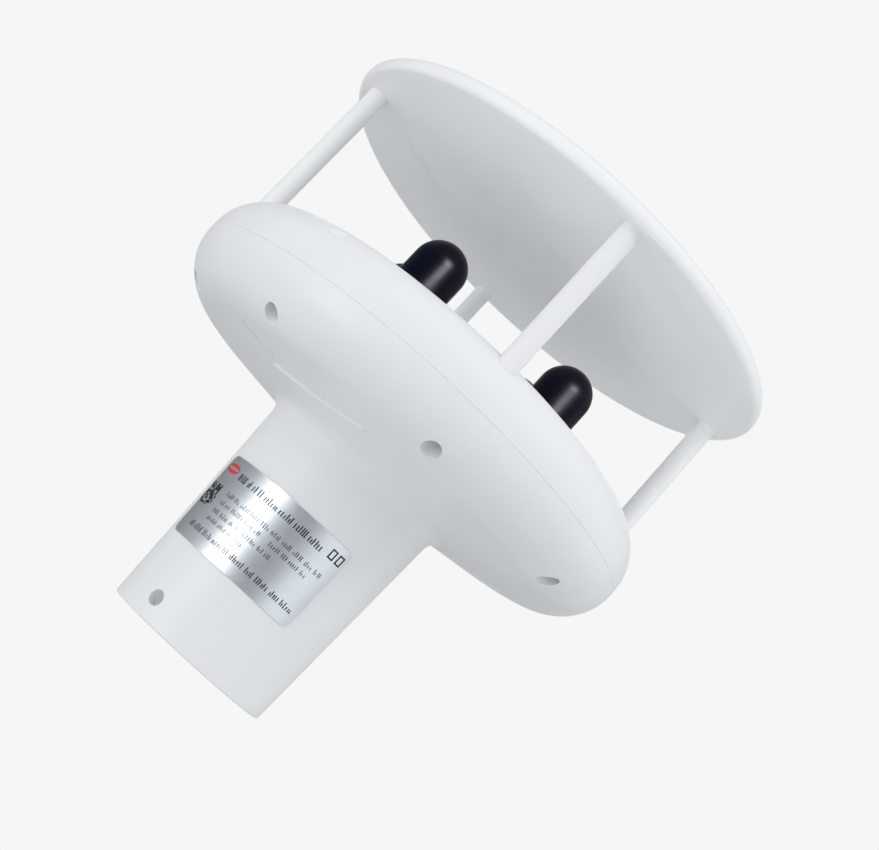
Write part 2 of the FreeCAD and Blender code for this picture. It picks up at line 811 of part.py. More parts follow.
def roof():
    recess = reflector_radius - S["roof_inset"]
    outside = recess - S["roof_fit"]
    inside = outside - S["roof_skirt"]
    skirt_low = reflector_floor + S["roof_gasket"]
    rise = S["roof_rise"]
    curve = (outside * outside + rise * rise) / (2 * rise)
    centre_z = reflector_top + rise - curve
    ceiling = curve - S["roof_wall"]
    turned_body("roof_cover", [
        (inside, skirt_low),
        (outside, skirt_low),
        (outside, reflector_top, 0, centre_z, curve),
        (0, reflector_top + rise),
        (0, reflector_top + rise - S["roof_wall"], 0, centre_z, ceiling),
        (inside, centre_z + root_of(ceiling * ceiling - inside * inside))])
    gasket = ring("roof_gasket_ring", outside, inside, reflector_floor, skirt_low)
    keep(gasket, "roof_gasket")


# ---- transducers -----------------------------------------------------------------------------

def transducers():
    nut_low = seat_boss_low - S["cap_nut_height"]
    stem_low = nut_low - S["cap_stem_tail"]
    piezo_top = cap_centre_z
    piezo_low = piezo_top - S["piezo_thickness"]
    for side, angle in SIDES.items():
        x, y = polar(S["transducer_circle"], angle)
        turned_body(f"transducer_cap_{side}", [
            (cap_bore, stem_low),
            (cap_stem, stem_low),
            (cap_stem, flange_low),
            (cap_flange_radius, flange_low),
            (cap_flange_radius, flange_top),
            (S["cap_radius"], flange_top),
            (S["cap_radius"], cap_centre_z, 0, cap_centre_z, S["cap_radius"]),
            (0, cap_centre_z + S["cap_radius"]),
            (0, cap_centre_z + cap_bore, 0, cap_centre_z, cap_bore),
            (cap_bore, cap_centre_z)], x, y)
        keep(ring(f"gasket_{side}", cap_flange_radius, cap_stem + S["cap_stem_fit"],
                  seat_z, flange_low, x, y), f"transducer_gasket_{side}")
        nut_blank = hexagon(f"nut_blank_{side}", cap_stem + S["cap_nut_width"],
                            nut_low, seat_boss_low, x, y)
        nut_bore = cylinder(f"nut_bore_{side}", cap_stem, nut_low - 1, seat_boss_low + 1, x, y)
        keep(cut(f"nut_{side}", nut_blank, nut_bore), f"transducer_nut_{side}")
        keep(cylinder(f"piezo_{side}", cap_bore - S["piezo_clearance"], piezo_low, piezo_top, x, y),
             f"transducer_piezo_{side}")
        keep(ring(f"backing_{side}", cap_bore - 0.1, S["backing_bore"],
                  piezo_low - S["backing_length"], piezo_low, x, y), f"transducer_backing_{side}")


# ---- electronics -----------------------------------------------------------------------------

def electronics():
    board = cylinder("board_blank", board_radius, board_low, board_top)
    holes = []
    screws = []
    for corner, angle in CORNERS.items():
        x, y = polar(board_screw_circle, angle)
        holes.append(cylinder(f"board_hole_{corner}", screw_hole,
                              board_low - 1, board_top + 1, x, y))
        head = cylinder(f"board_screw_{corner}_head", S["board_screw_head_radius"],
                        board_top, board_top + S["board_screw_head"], x, y)
        shank = cylinder(f"board_screw_{corner}_shank", S["board_screw_radius"],
                         board_top - S["board_screw_length"], board_top, x, y)
        screws.append(fuse(f"board_screw_{corner}", head, shank))
    keep(cut("board_drilled", board, fuse("board_holes", *holes)), "main_board")
    keep(group("board_screw_set", screws), "board_screws")
    keep(block("processor_block", S["processor_side"], board_top,
               board_top + S["processor_height"]), "processor_chip")
    transformers = []
    headers = []
    leads = []
    header_top = board_top + S["lead_header_height"]
    lead_top = cap_centre_z - S["piezo_thickness"]
    for side, angle in SIDES.items():
        x, y = polar(S["transducer_circle"] + S["transformer_offset"], angle)
        transformers.append(block(f"transformer_{side}", S["transformer_side"], board_top,
                                  board_top + S["transformer_height"], x, y))
        x, y = polar(S["transducer_circle"], angle)
        headers.append(block(f"lead_header_{side}", S["lead_header_side"], board_top,
                             header_top, x, y))
        for count, sign in enumerate((-1, 1)):
            across_x, across_y = polar(S["lead_spacing"] / 2 * sign, angle + 90)
            leads.append(cylinder(f"lead_{side}_{count}", S["lead_radius"], header_top, lead_top,
                                  x + across_x, y + across_y))
    keep(group("transformer_set", transformers), "drive_transformers")
    keep(group("lead_header_set", headers), "lead_headers")
    keep(group("lead_set", leads), "transducer_leads")


# ---- connector -------------------------------------------------------------------------------

def connector():
    flange_high = bulkhead_low - S["connector_gasket"]
    flange_under = flange_high - S["connector_flange"]
    mouth = flange_under - S["connector_drop"]
    thread_top = bulkhead_top + S["connector_thread"]
    outside = S["connector_radius"]
    turned_body("connector_shell", [
        (connector_bore, mouth),
        (outside, mouth),
        (outside, flange_under),
        (connector_flange, flange_under),
        (connector_flange, flange_high),
        (outside, flange_high),
        (outside, thread_top),
        (connector_bore, thread_top)])
    keep(ring("connector_gasket_ring", connector_flange,
              outside + S["connector_fit"], flange_high, bulkhead_low), "connector_gasket")
    nut_top = bulkhead_top + S["connector_nut_height"]
    nut_corner = (outside + S["connector_nut_wall"]) / cos_of(30)
    nut_blank = hexagon("connector_nut_blank", nut_corner, bulkhead_top, nut_top)
    nut_bore = cylinder("connector_nut_bore", outside, bulkhead_top - 1, nut_top + 1)
    keep(cut("connector_nut_ring", nut_blank, nut_bore), "connector_nut")
    insulator_low = mouth + S["insulator_setback"]
    insulator_top = thread_top + S["insulator_tail"]
    insulator = cylinder("insulator_blank", connector_bore, insulator_low, insulator_top)
    pin_low = mouth + S["pin_setback"]
    pin_top = insulator_top + S["pin_tail"]
    header_low = board_low - S["harness_header_height"]
    pins = []
    pin_holes = []
    wires = []
    for side, angle in SIDES.items():
        x, y = polar(S["pin_circle"], angle)
        pins.append(cylinder(f"pin_{side}", S["pin_radius"], pin_low, pin_top, x, y))
        pin_holes.append(cylinder(f"pin_hole_{side}", S["pin_radius"],
                                  insulator_low - 1, insulator_top + 1, x, y))
        wires.append(cylinder(f"wire_{side}", S["wire_radius"], pin_top, header_low, x, y))
    drilled = cut("insulator_drilled", insulator, fuse("insulator_holes", *pin_holes))
    keep(drilled, "connector_insulator")
    keep(group("pin_set", pins), "connector_pins")
    keep(group("wire_set", wires), "harness_wires")
    keep(block("harness_header_block", S["harness_header_side"], header_low, board_low),
         "harness_header")


# ---- rating label: a thin foil wrapped round the front of the neck ------------------------------

def rating_label():
    body = doc.addObject("PartDesign::Body", "rating_label_body")
    low = S["label_low"]
    high = low + S["label_height"]
    foil = turned(body, "Revolution", "label_foil_sheet", [
        (neck_outside(low), low),
        (neck_outside(low) + S["label_foil"], low),
        (neck_outside(high) + S["label_foil"], high),
        (neck_outside(high), high)], S["label_span"])
    doc.recompute()
    short = [f"Edge{index}" for index, edge in enumerate(foil.Shape.Edges, start=1)
             if edge.Length < 2 * SIZES["label_foil"]]
    corners = body.newObject("PartDesign::Fillet", "label_corners")
    corners.Base = (foil, short)
    bind(corners, "Radius", S["label_corner"])
    doc.recompute()
    middle = body.Shape.CenterOfGravity
    drawn_at = math.degrees(math.atan2(middle.y, middle.x))
    wanted = FRONT + SIZES["label_turn"]
    body.Placement.Rotation = FreeCAD.Rotation(FreeCAD.Vector(0, 0, 1), wanted - drawn_at)
    keep(body, "rating_label")


def check_document():
    for thing in doc.Objects:
        if "Invalid" in thing.State or "Error" in thing.State:
            raise RuntimeError(f"{thing.Label} failed: {thing.State}")
    for piece in pieces:
        if piece.Shape.isNull() or not piece.Shape.isValid():
            raise RuntimeError(f"{piece.Label} has no valid shape")


def write_pieces():
    os.makedirs("parts", exist_ok=True)
    for piece in pieces:
        piece.Shape.exportStep(f"parts/{piece.Label}.step")
        box = piece.Shape.BoundBox
        print(f"{piece.Label}: {len(piece.Shape.Solids)} solid(s), {piece.Shape.Volume:.1f} mm3, "
              f"z {box.ZMin:.1f} to {box.ZMax:.1f}")


lower_housing()
upper_housing()
housing_seal()
housing_screws()
post_screws()
support_posts()
reflector()
reflector_screws()
roof()
transducers()
electronics()
connector()
rating_label()
doc.recompute()
check_document()
write_pieces()
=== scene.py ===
"""Looks for the ultrasonic wind sensor: materials, the printed label, light and camera.

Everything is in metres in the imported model's frame: +Z up along the sensor's axis, origin at
the centre of the socket's open lower end, the row's front towards -Y.
"""

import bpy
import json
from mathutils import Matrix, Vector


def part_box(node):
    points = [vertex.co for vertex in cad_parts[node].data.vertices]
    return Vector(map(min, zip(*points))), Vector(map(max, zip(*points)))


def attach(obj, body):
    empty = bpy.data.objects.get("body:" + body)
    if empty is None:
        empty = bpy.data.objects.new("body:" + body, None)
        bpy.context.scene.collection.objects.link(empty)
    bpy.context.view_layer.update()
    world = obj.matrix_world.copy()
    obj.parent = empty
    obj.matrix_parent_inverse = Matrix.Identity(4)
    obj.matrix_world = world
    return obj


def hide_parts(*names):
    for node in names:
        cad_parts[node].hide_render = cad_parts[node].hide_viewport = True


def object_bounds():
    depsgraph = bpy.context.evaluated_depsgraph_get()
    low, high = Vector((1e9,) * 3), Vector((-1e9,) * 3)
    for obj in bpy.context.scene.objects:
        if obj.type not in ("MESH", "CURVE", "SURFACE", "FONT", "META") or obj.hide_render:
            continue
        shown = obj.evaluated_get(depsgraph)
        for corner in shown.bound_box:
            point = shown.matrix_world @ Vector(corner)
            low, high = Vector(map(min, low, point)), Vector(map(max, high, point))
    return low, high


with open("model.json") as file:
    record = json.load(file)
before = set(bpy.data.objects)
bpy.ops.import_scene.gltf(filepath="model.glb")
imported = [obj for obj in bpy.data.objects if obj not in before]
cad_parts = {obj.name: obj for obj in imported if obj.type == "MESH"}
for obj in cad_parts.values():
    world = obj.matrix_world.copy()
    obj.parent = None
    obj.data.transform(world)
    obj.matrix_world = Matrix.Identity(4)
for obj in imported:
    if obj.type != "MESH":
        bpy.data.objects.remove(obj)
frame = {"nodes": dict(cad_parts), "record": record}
cad_box = [list(map(float, corner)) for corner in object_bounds()]

import json
import math
import random

import bmesh
import bpy
from mathutils import Matrix, Vector

MM = 0.001
nodes = frame["nodes"]


# ---- camera ------------------------------------------------------------------------------------

CAMERA_DISTANCE = 0.46869
CAMERA_HEIGHT = 0.0236
CAMERA_AZIMUTH = math.radians(37.03)
CAMERA_YAW = math.radians(1.186)
CAMERA_PITCH = math.radians(10.2815)
CAMERA_ROLL = math.radians(-42.615)
CAMERA_LENS = 59.443
CAMERA_SENSOR = 36


def add_camera():
    """Looks slightly up at the disc's underside, rolled so that the sensor leans to the right."""
    heading = CAMERA_AZIMUTH - CAMERA_YAW
    forward = Vector((-math.sin(heading) * math.cos(CAMERA_PITCH),
                      math.cos(heading) * math.cos(CAMERA_PITCH),
                      math.sin(CAMERA_PITCH)))
    right = Vector((math.cos(heading), math.sin(heading), 0))
    up = right.cross(forward)
    x_axis = math.cos(CAMERA_ROLL) * right - math.sin(CAMERA_ROLL) * up
    y_axis = math.sin(CAMERA_ROLL) * right + math.cos(CAMERA_ROLL) * up
    data = bpy.data.cameras.new("camera")
    data.lens = CAMERA_LENS
    data.sensor_width = CAMERA_SENSOR
    data.sensor_fit = "HORIZONTAL"
    data.clip_start = 0.01
    data.clip_end = 100
    camera = bpy.data.objects.new("camera", data)
    bpy.context.scene.collection.objects.link(camera)
    place = Matrix((x_axis, y_axis, -forward)).transposed().to_4x4()
    place.translation = (CAMERA_DISTANCE * math.sin(CAMERA_AZIMUTH),
                         -CAMERA_DISTANCE * math.cos(CAMERA_AZIMUTH), CAMERA_HEIGHT)
    camera.matrix_world = place
    bpy.context.scene.camera = camera


# ---- studio ------------------------------------------------------------------------------------

BACKGROUND = (0.921, 0.921, 0.921, 1)
AMBIENT = (0.528, 0.545, 0.557, 1)
REFLECTED = (0.24, 0.25, 0.26, 1)
STUDIO_CENTRE = 0.09
FLOOR_HALF = 8
FLOOR_GAP = 0.2 * MM


def by_ray(tree, ray, others, chosen):
    """A colour that differs for one kind of ray. Others is a colour or another such mix."""
    path = tree.nodes.new("ShaderNodeLightPath")
    mix = tree.nodes.new("ShaderNodeMix")
    mix.data_type = "RGBA"
    if isinstance(others, tuple):
        mix.inputs["A"].default_value = others
    else:
        tree.links.new(others, mix.inputs["A"])
    mix.inputs["B"].default_value = chosen
    tree.links.new(path.outputs[ray], mix.inputs["Factor"])
    return mix.outputs["Result"]


def add_world():
    world = bpy.data.worlds.new("studio")
    world.use_nodes = True
    tree = world.node_tree
    background = tree.nodes["Background"]
    room = by_ray(tree, "Is Glossy Ray", AMBIENT, REFLECTED)
    tree.links.new(by_ray(tree, "Is Camera Ray", room, BACKGROUND), background.inputs["Color"])
    bpy.context.scene.world = world


def add_floor():
    """A plain pale floor that glows evenly. From below it is clear, so the underside shows."""
    mesh = bpy.data.meshes.new("studio_floor")
    half = FLOOR_HALF
    corners = [(-half, -half, 0), (half, -half, 0), (half, half, 0), (-half, half, 0)]
    mesh.from_pydata(corners, [], [(0, 1, 2, 3)])
    floor = bpy.data.objects.new("studio_floor", mesh)
    floor.location.z = cad_box[0][2] - FLOOR_GAP
    bpy.context.scene.collection.objects.link(floor)
    pale = bpy.data.materials.new("pale_floor")
    pale.use_nodes = True
    tree = pale.node_tree
    tree.nodes.remove(tree.nodes["Principled BSDF"])
    glow = tree.nodes.new("ShaderNodeEmission")
    glow.inputs["Color"].default_value = BACKGROUND
    clear = tree.nodes.new("ShaderNodeBsdfTransparent")
    side = tree.nodes.new("ShaderNodeNewGeometry")
    mix = tree.nodes.new("ShaderNodeMixShader")
    tree.links.new(side.outputs["Backfacing"], mix.inputs["Fac"])
    tree.links.new(glow.outputs["Emission"], mix.inputs[1])
    tree.links.new(clear.outputs["BSDF"], mix.inputs[2])
    tree.links.new(mix.outputs["Shader"], tree.nodes["Material Output"].inputs["Surface"])
    mesh.materials.append(pale)
    for ray in ("visible_diffuse", "visible_glossy", "visible_transmission", "visible_shadow"):
        setattr(floor, ray, False)


def add_softbox(name, azimuth, elevation, distance, width, height, power, lights):
    """A soft area light on a sphere round the sensor. Azimuth runs from -Y towards +X. It lights
    both matt and glossy surfaces, or one of the two."""
    target = Vector((0, 0, STUDIO_CENTRE))
    turn, lift = math.radians(azimuth), math.radians(elevation)
    away = Vector((math.sin(turn) * math.cos(lift), -math.cos(turn) * math.cos(lift),
                   math.sin(lift)))
    data = bpy.data.lights.new(name, "AREA")
    data.shape = "RECTANGLE"
    data.size = width
    data.size_y = height
    data.energy = power
    light = bpy.data.objects.new(name, data)
    light.visible_diffuse = lights != "gloss"
    light.visible_glossy = lights != "matt"
    light.location = target + away * distance
    light.rotation_euler = (-away).to_track_quat("-Z", "Y").to_euler()
    bpy.context.scene.collection.objects.link(light)
    return light


def flag_off(light, pieces):
    """Keeps a light to these pieces, as flags round the lamp would."""
    lit = bpy.data.collections.new(f"{light.name}_lit")
    for piece in pieces:
        lit.objects.link(piece)
    light.light_linking.receiver_collection = lit


SOFTBOXES = (
    # name, azimuth, elevation, distance, width, height, power, what it lights
    ("key_softbox", -12, 3, 1.0, 0.13, 0.9, 2.5, "matt"),
    ("front_softbox", 37, 50, 1.2, 0.9, 0.9, 2.6, "both"),
    ("right_softbox", 75, 28, 1.2, 0.8, 0.5, 1.15, "both"),
    ("side_softbox", 130, 15, 1.2, 0.8, 1.0, 1.8, "both"),
    ("high_side_softbox", 110, 50, 1.2, 0.9, 0.9, 2.2, "both"),
    ("back_softbox", -143, 20, 1.2, 1.0, 1.0, 3.8, "both"),
    ("low_front_softbox", 37, -45, 1.2, 1.6, 0.9, 0.9, "both"),
    ("low_left_softbox", -60, -30, 1.2, 0.9, 0.9, 1.4, "both"),
    ("low_right_softbox", 110, -35, 1.2, 0.9, 0.9, 1.35, "both"),
    ("label_softbox", -13, -14, 1.0, 0.28, 0.5, 3.7, "gloss"),
)


def add_studio():
    add_world()
    add_floor()
    for row in SOFTBOXES:
        add_softbox(*row)
    scene = bpy.context.scene
    scene.view_settings.view_transform = "Standard"
    scene.view_settings.look = "None"
    scene.view_settings.exposure = 0
    scene.view_settings.gamma = 1


def add_spots(reflector, caps):
    """Lights that each reach only some pieces: a fill for the reflector's underside and the
    posts at the sides and back, a strip that shines on the black caps, and a broad sheen on the
    label's right half."""
    sheen = add_softbox("label_sheen", 76, -2, 1.2, 0.9, 1.0, 2.4, lights="gloss")
    flag_off(sheen, [nodes["rating_label"]])
    fill = add_softbox("under_fill", 40, -28, 1.2, 0.9, 0.5, 1.7, lights="matt")
    posts = [nodes[f"support_post_{corner}"] for corner in ("front_left", "back_left",
                                                            "back_right")]
    flag_off(fill, [reflector, *posts])
    strip = add_softbox("strip_softbox", 52, 36, 1.1, 0.46, 0.7, 62.0, lights="gloss")
    strip.data.color = (0.93, 0.93, 1.0)
    flag_off(strip, caps)


# ---- materials ---------------------------------------------------------------------------------

class Surface:
    """One node material: a Principled shader with noise in its colour, roughness and bump."""

    def __init__(self, name, roughness, metallic=0.0, specular=0.5):
        self.material = bpy.data.materials.new(name)
        self.material.use_nodes = True
        self.tree = self.material.node_tree
        self.shader = self.tree.nodes["Principled BSDF"]
        self.shader.inputs["Roughness"].default_value = roughness
        self.shader.inputs["Metallic"].default_value = metallic
        self.shader.inputs["Specular IOR Level"].default_value = specular
        self.base_roughness = roughness
        self.coordinates = self.tree.nodes.new("ShaderNodeTexCoord").outputs["Object"]
        self.bumps = None

    def node(self, kind, **settings):
        made = self.tree.nodes.new(kind)
        for key, value in settings.items():
            setattr(made, key, value)
        return made

    def join(self, source, target):
        self.tree.links.new(source, target)

    def noise(self, size, detail=2.0, stretch=(1, 1, 1)):
        """Noise from 0 to 1 whose blobs are about this size in metres."""
        place = self.node("ShaderNodeMapping")
        place.inputs["Scale"].default_value = stretch
        self.join(self.coordinates, place.inputs["Vector"])
        noise = self.node("ShaderNodeTexNoise")
        noise.inputs["Scale"].default_value = 1 / size
        noise.inputs["Detail"].default_value = detail
        self.join(place.outputs["Vector"], noise.inputs["Vector"])
        return noise.outputs["Fac"]

    def spread(self, value, low, high, start=0.3, stop=0.7):
        """The value's range start to stop, mapped to low to high."""
        ramp = self.node("ShaderNodeMapRange")
        ramp.inputs["From Min"].default_value = start
        ramp.inputs["From Max"].default_value = stop
        ramp.inputs["To Min"].default_value = low
        ramp.inputs["To Max"].default_value = high
        self.join(value, ramp.inputs["Value"])
        return ramp.outputs["Result"]

    def blend(self, factor, first, second):
        mix = self.node("ShaderNodeMix", data_type="RGBA")
        for socket, colour in (("A", first), ("B", second)):
            if isinstance(colour, tuple):
                mix.inputs[socket].default_value = (*colour, 1)
            else:
                self.join(colour, mix.inputs[socket])
        self.join(factor, mix.inputs["Factor"])
        return mix.outputs["Result"]

    def colour(self, source):
        self.join(source, self.shader.inputs["Base Color"])

    def rough(self, source):
        self.join(source, self.shader.inputs["Roughness"])

    def bump(self, height, depth, strength=1.0):
        """Raises the surface by depth, in metres, where the height is 1."""
        bump = self.node("ShaderNodeBump")
        bump.inputs["Distance"].default_value = depth
        bump.inputs["Strength"].default_value = strength
        self.join(height, bump.inputs["Height"])
        if self.bumps is not None:
            self.join(self.bumps, bump.inputs["Normal"])
        self.bumps = bump.outputs["Normal"]
        self.join(self.bumps, self.shader.inputs["Normal"])

    def edges(self, width):
        """1 on edges sharper than their surroundings, 0 on open faces."""
        bevel = self.node("ShaderNodeBevel", samples=4)
        bevel.inputs["Radius"].default_value = width
        flat = self.node("ShaderNodeNewGeometry")
        dot = self.node("ShaderNodeVectorMath", operation="DOT_PRODUCT")
        self.join(bevel.outputs["Normal"], dot.inputs[0])
        self.join(flat.outputs["Normal"], dot.inputs[1])
        return self.spread(dot.outputs["Value"], 1, 0, 0.80, 0.99)

    def crevices(self, reach, open_from=0.6):
        """1 in corners and grooves, 0 on open faces."""
        shade = self.node("ShaderNodeAmbientOcclusion", samples=8)
        shade.inputs["Distance"].default_value = reach
        return self.spread(shade.outputs["AO"], 1, 0, 0.1, open_from)


def tint(colour, factor):
    return tuple(min(1.0, channel * factor) for channel in colour)


def moulded_plastic(name, colour, roughness, grain=0.0005, depth=0.000004, crevice_shade=0.0,
                    specular=0.5):
    """Spark-eroded moulded plastic: a fine grain, faint flow clouds and slightly glossy wear, and,
    where asked for, painted shade that darkens its crevices and recesses.
    """
    surface = Surface(name, roughness, specular=specular)
    clouds = surface.spread(surface.noise(0.03, 3), 0, 1)
    tone = surface.blend(clouds, tint(colour, 0.985), tint(colour, 1.01))
    # painted shade: within 4 mm, ambient occlusion darkens the colour towards 55% of its tone in
    # crevices, holes and grooves, by the given amount
    if crevice_shade:
        tone = surface.blend(surface.spread(surface.crevices(0.004), 0, crevice_shade, 0, 1),
                             tone, tint(colour, 0.55))
    surface.colour(tone)
    surface.rough(surface.spread(surface.noise(0.008, 4), roughness - 0.05, roughness + 0.05))
    surface.bump(surface.noise(grain, 2), depth)
    surface.bump(surface.noise(0.02, 1), 0.00002, 0.5)
    return surface.material


def painted_metal(name, colour, roughness):
    """Sprayed enamel with a soft orange peel and a faint cloudy tone."""
    surface = Surface(name, roughness, specular=0.25)
    peel = surface.noise(0.0012, 1)
    surface.colour(surface.blend(surface.spread(surface.noise(0.015, 2), 0, 1),
                                 tint(colour, 0.985), colour))
    surface.rough(surface.spread(surface.noise(0.004, 3), roughness - 0.06, roughness + 0.06))
    surface.bump(peel, 0.000012)
    return surface.material


def soft_rubber(name, colour, roughness):
    surface = Surface(name, roughness, specular=0.35)
    dust = surface.spread(surface.noise(0.002, 4), 0, 1)
    surface.colour(surface.blend(dust, tint(colour, 0.85), tint(colour, 1.3)))
    surface.rough(surface.spread(surface.noise(0.001, 3), roughness - 0.08, roughness + 0.08))
    surface.bump(surface.noise(0.0003, 3), 0.00001)
    return surface.material


def turned_metal(name, colour, roughness, wear=0.1):
    """Machined metal: fine turning lines round Z, and paler worn edges."""
    surface = Surface(name, roughness, metallic=1.0)
    lines = surface.noise(0.0006, 2, stretch=(0.1, 0.1, 4))
    worn = surface.edges(0.0002)
    grey = surface.blend(surface.spread(surface.noise(0.003, 3), 0, 1),
                         tint(colour, 0.88), colour)
    surface.colour(surface.blend(worn, grey, tint(colour, 1.15)))
    surface.rough(surface.spread(lines, roughness - wear, roughness + wear))
    surface.bump(lines, 0.000004)
    return surface.material


def foil(name, colour, roughness):
    """Brushed aluminium foil with its brushing along the label's width."""
    surface = Surface(name, roughness, metallic=1.0)
    brushing = surface.noise(0.0025, 3, stretch=(1, 1, 14))
    fine = surface.noise(0.0006, 2, stretch=(0.3, 0.3, 5))
    surface.colour(surface.blend(surface.spread(brushing, 0, 1), tint(colour, 0.95), colour))
    surface.rough(surface.spread(fine, roughness - 0.05, roughness + 0.07))
    surface.bump(fine, 0.000003)
    return surface.material


def circuit_board(name, colour):
    """Solder mask over copper: pads' ghost grid shows as slight relief and tone."""
    surface = Surface(name, 0.35)
    tracks = surface.node("ShaderNodeTexBrick")
    tracks.inputs["Scale"].default_value = 120
    tracks.inputs["Color1"].default_value = (*colour, 1)
    tracks.inputs["Color2"].default_value = (*tint(colour, 1.25), 1)
    tracks.inputs["Mortar"].default_value = (*tint(colour, 0.7), 1)
    tracks.inputs["Mortar Size"].default_value = 0.03
    surface.join(surface.coordinates, tracks.inputs["Vector"])
    surface.colour(tracks.outputs["Color"])
    surface.rough(surface.spread(surface.noise(0.003, 3), 0.28, 0.45))
    surface.bump(tracks.outputs["Fac"], 0.00002)
    return surface.material


def fired_ceramic(name, colour):
    surface = Surface(name, 0.4)
    grains = surface.noise(0.0004, 3)
    surface.colour(surface.blend(surface.spread(grains, 0, 1), tint(colour, 0.9), colour))
    surface.rough(surface.spread(surface.noise(0.002, 3), 0.32, 0.5))
    surface.bump(grains, 0.000006)
    return surface.material


def printed_ink(name, colour):
    """Thin ink with pinholes where the foil's brushing lifts it."""
    surface = Surface(name, 0.5)
    pinholes = surface.spread(surface.noise(0.00025, 3), 0, 1, 0.35, 0.7)
    surface.colour(surface.blend(pinholes, colour, tint(colour, 1.8)))
    surface.rough(surface.spread(surface.noise(0.001, 2), 0.4, 0.6))
    surface.bump(pinholes, 0.000004)
    return surface.material


WHITE = (0.86, 0.87, 0.88)
MATERIALS = {
    # the white housing's colour carries painted shade in its crevices and recesses
    "white_housing": moulded_plastic("white_housing_look", WHITE, 0.42, crevice_shade=0.55, specular=0.2),
    "white_post": painted_metal("white_post_look", (0.89, 0.895, 0.90), 0.36),
    "black_cap": moulded_plastic("black_cap_look", (0.001, 0.0025, 0.011), 0.35, 0.0004,
                                 specular=0.09),
    "seal_rubber": soft_rubber("seal_rubber_look", (0.02, 0.02, 0.022), 0.75),
    "backing_foam": soft_rubber("backing_foam_look", (0.16, 0.16, 0.17), 0.9),
    "nut_plastic": moulded_plastic("nut_plastic_look", (0.05, 0.05, 0.05), 0.5),
    "piezo_ceramic": fired_ceramic("piezo_ceramic_look", (0.78, 0.72, 0.56)),
    "screw_steel": turned_metal("screw_steel_look", (0.58, 0.58, 0.57), 0.3),
    "brass": turned_metal("brass_look", (0.78, 0.60, 0.28), 0.3),
    "board_green": circuit_board("board_green_look", (0.02, 0.14, 0.05)),
    "chip_black": moulded_plastic("chip_black_look", (0.018, 0.018, 0.02), 0.55, 0.0003),
    "header_white": moulded_plastic("header_white_look", (0.78, 0.75, 0.66), 0.5),
    "wire_red": soft_rubber("wire_red_look", (0.5, 0.02, 0.015), 0.45),
    "connector_metal": turned_metal("connector_metal_look", (0.72, 0.71, 0.69), 0.22),
    "label_foil": foil("label_foil_look", (0.76, 0.80, 0.85), 0.40),
}


def dress_nodes():
    """Gives every CAD node the look of its slot in the record."""
    for part in frame["record"]["subparts"]:
        for slot in nodes[part["node"]].material_slots:
            slot.material = MATERIALS[part["material_slot"]]


# ---- turned pieces -----------------------------------------------------------------------------

SEGMENTS = 256
RING_STEP = math.radians(6)


def arc(centre_x, centre_z, radius, start, stop):
    """Points on an arc in the (radius, height) plane, from start to stop in degrees."""
    first, last = math.radians(start), math.radians(stop)
    count = max(2, math.ceil(abs(last - first) / RING_STEP))
    angles = [first + (last - first) * step / count for step in range(count + 1)]
    return [(centre_x + radius * math.cos(angle), centre_z + radius * math.sin(angle))
            for angle in angles]


def softened(corners):
    """An outline of (radius, height) or (radius, height, round) corners, with its rounds drawn."""
    outline = []
    for index, corner in enumerate(corners):
        here = Vector(corner[:2])
        if len(corner) == 2:
            outline.append(tuple(here))
            continue
        before = (Vector(corners[index - 1][:2]) - here).normalized()
        after = (Vector(corners[(index + 1) % len(corners)][:2]) - here).normalized()
        half = before.angle(after) / 2
        reach = corner[2] / math.tan(half)
        centre = here + (before + after).normalized() * corner[2] / math.sin(half)
        start, stop = here + before * reach - centre, here + after * reach - centre
        turn = start.angle_signed(stop)
        count = max(3, math.ceil(abs(turn) / (2 * RING_STEP)))
        for step in range(count + 1):
            spun = Matrix.Rotation(-turn * step / count, 2) @ start
            outline.append(tuple(centre + spun))
    return outline


def new_object(name, builder, material):
    mesh = bpy.data.meshes.new(name)
    bmesh.ops.recalc_face_normals(builder, faces=builder.faces)
    builder.to_mesh(mesh)
    builder.free()
    mesh.materials.append(material)
    piece = bpy.data.objects.new(name, mesh)
    bpy.context.scene.collection.objects.link(piece)
    return piece


def smooth(piece, angle=35):
    piece.data.polygons.foreach_set("use_smooth", [True] * len(piece.data.polygons))
    piece.data.set_sharp_from_angle(angle=math.radians(angle))


def revolved(name, outline, material, segments=SEGMENTS, x=0.0, y=0.0):
    """A closed outline of (radius, height) points turned about an upright axis at x, y."""
    builder = bmesh.new()
    rings = []
    for radius, height in outline:
        if radius < 1e-7:
            rings.append([builder.verts.new((x, y, height))] * segments)
            continue
        rings.append([builder.verts.new((x + radius * math.cos(turn), y + radius * math.sin(turn),
                                         height))
                      for turn in (2 * math.pi * step / segments for step in range(segments))])
    for index, ring in enumerate(rings):
        above = rings[(index + 1) % len(rings)]
        if ring[0] is ring[1] and above[0] is above[1]:
            continue
        for step in range(segments):
            after = (step + 1) % segments
            corners = [ring[step], ring[after], above[after], above[step]]
            unique = list(dict.fromkeys(corners))
            builder.faces.new(unique)
    piece = new_object(name, builder, material)
    smooth(piece)
    return piece


def cut_away(piece, tools):
    """Cuts the closed tool meshes out of the piece and deletes them."""
    for tool in tools:
        bore = piece.modifiers.new("bore", "BOOLEAN")
        bore.operation = "DIFFERENCE"
        bore.solver = "EXACT"
        bore.object = tool
    bpy.context.view_layer.update()
    graph = bpy.context.evaluated_depsgraph_get()
    cut = bpy.data.meshes.new_from_object(piece.evaluated_get(graph))
    piece.modifiers.clear()
    piece.data = cut
    for tool in tools:
        bpy.data.objects.remove(tool)
    smooth(piece)


def fit_piece(piece, slot, *replaced):
    """Parents a finished piece to the root body and hides the CAD nodes that it stands for."""
    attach(piece, "root")
    if replaced:
        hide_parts(*replaced)


